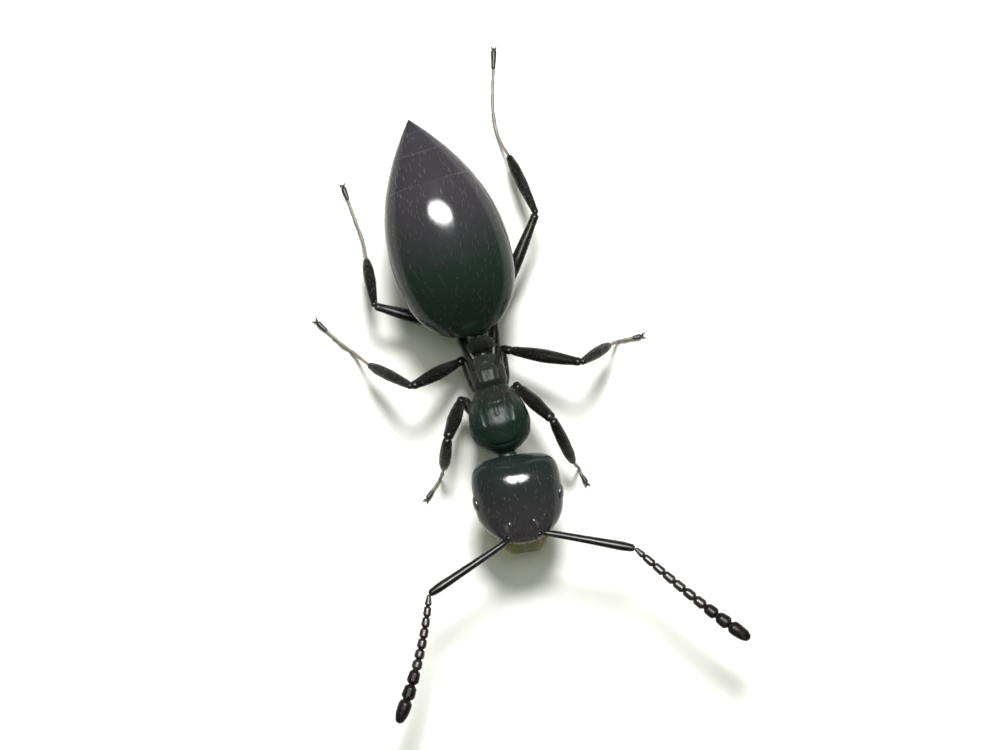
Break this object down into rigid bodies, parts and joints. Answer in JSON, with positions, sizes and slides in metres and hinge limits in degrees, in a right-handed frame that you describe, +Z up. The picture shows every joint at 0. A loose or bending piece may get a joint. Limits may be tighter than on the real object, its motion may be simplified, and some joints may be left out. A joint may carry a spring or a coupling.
{
  "type": "ant",
  "caption": "Standing worker ant with a heart-shaped pointed gaster, two bent feelers and six jointed legs.",
  "frame": {"origin": "on the floor, under the middle of the ant's outer box", "axes": "+Z up, the ant faces -Y and its left side is +X, gaster tip to +Y"},
  "size_m": [0.0046, 0.0078, 0.0016],
  "materials": {
    "black_cuticle": "glossy black chitin with fine surface wrinkles",
    "limb_cuticle": "glossy blackish brown chitin",
    "feeler_cuticle": "satin dark reddish brown chitin with short pale down",
    "tarsus_cuticle": "satin grey brown chitin, thinner and paler than the leg",
    "mandible_cuticle": "glossy dark reddish brown chitin",
    "compound_eye": "very glossy black lens surface"
  },
  "bodies": {
    "root": {"head": "black_cuticle", "promesonotum": "black_cuticle", "propodeum": "black_cuticle", "petiole": "black_cuticle", "postpetiole": "black_cuticle", "gaster_segment_1": "black_cuticle", "gaster_segment_2": "black_cuticle", "gaster_segment_3": "black_cuticle", "gaster_segment_4": "black_cuticle", "eye_left": "compound_eye", "mandible_left": "mandible_cuticle", "antenna_left_scape": "limb_cuticle", "antenna_left_funicle": "feeler_cuticle", "antenna_left_club": "feeler_cuticle", "leg_fore_left_coxa": "limb_cuticle", "leg_fore_left_femur": "limb_cuticle", "leg_fore_left_tibia": "limb_cuticle", "leg_fore_left_tarsus": "tarsus_cuticle", "leg_mid_left_coxa": "limb_cuticle", "leg_mid_left_femur": "limb_cuticle", "leg_mid_left_tibia": "limb_cuticle", "leg_mid_left_tarsus": "tarsus_cuticle", "leg_hind_left_coxa": "limb_cuticle", "leg_hind_left_femur": "limb_cuticle", "leg_hind_left_tibia": "limb_cuticle", "leg_hind_left_tarsus": "tarsus_cuticle", "eye_right": "compound_eye", "mandible_right": "mandible_cuticle", "antenna_right_scape": "limb_cuticle", "antenna_right_funicle": "feeler_cuticle", "antenna_right_club": "feeler_cuticle", "leg_fore_right_coxa": "limb_cuticle", "leg_fore_right_femur": "limb_cuticle", "leg_fore_right_tibia": "limb_cuticle", "leg_fore_right_tarsus": "tarsus_cuticle", "leg_mid_right_coxa": "limb_cuticle", "leg_mid_right_femur": "limb_cuticle", "leg_mid_right_tibia": "limb_cuticle", "leg_mid_right_tarsus": "tarsus_cuticle", "leg_hind_right_coxa": "limb_cuticle", "leg_hind_right_femur": "limb_cuticle", "leg_hind_right_tibia": "limb_cuticle", "leg_hind_right_tarsus": "tarsus_cuticle"}
  },
  "joints": []
}
